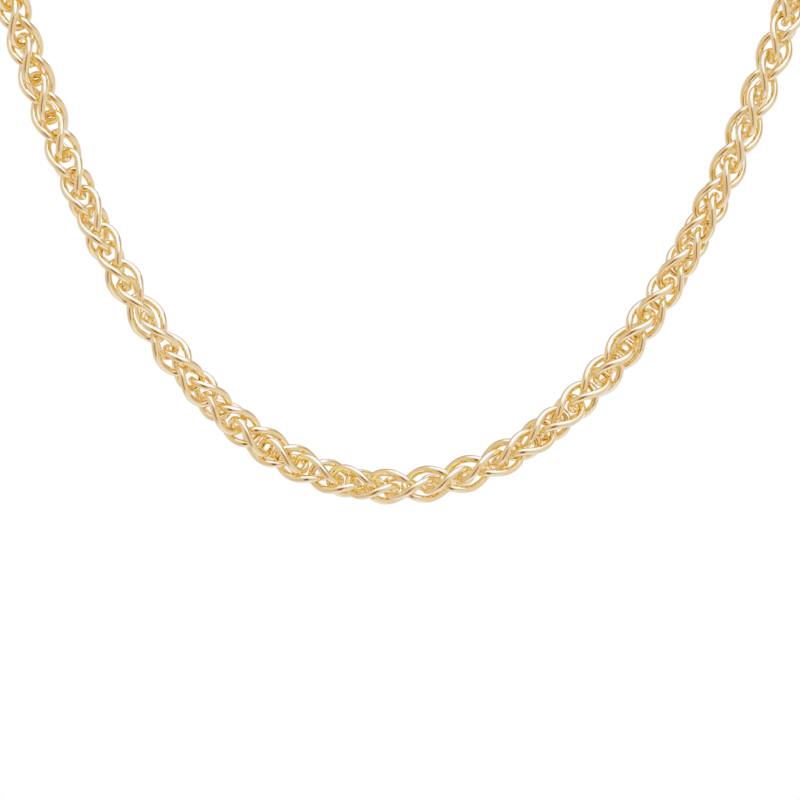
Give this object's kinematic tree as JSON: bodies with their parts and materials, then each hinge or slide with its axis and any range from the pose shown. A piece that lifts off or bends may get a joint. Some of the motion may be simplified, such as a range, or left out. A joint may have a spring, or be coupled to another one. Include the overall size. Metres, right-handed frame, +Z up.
{
  "type": "gold wheat-link neck chain",
  "caption": "Round plaited gold neck chain of interlocking twisted oval links, closed at the nape, hanging in a deep curve.",
  "frame": {"origin": "where the clasp rests on the nape, on its barrel's side towards the neck", "axes": "+Z up, -Y the way the wearer faces, +X to the right for someone who looks at the wearer's front"},
  "size_m": [0.1298, 0.0805, 0.1238],
  "materials": {
    "gold_links": "bright polish on round drawn wire",
    "gold_clasp": "bright polish"
  },
  "bodies": {
    "root": {"chain_left": "gold_links", "chain_right": "gold_links", "clasp": "gold_clasp"}
  },
  "joints": []
}
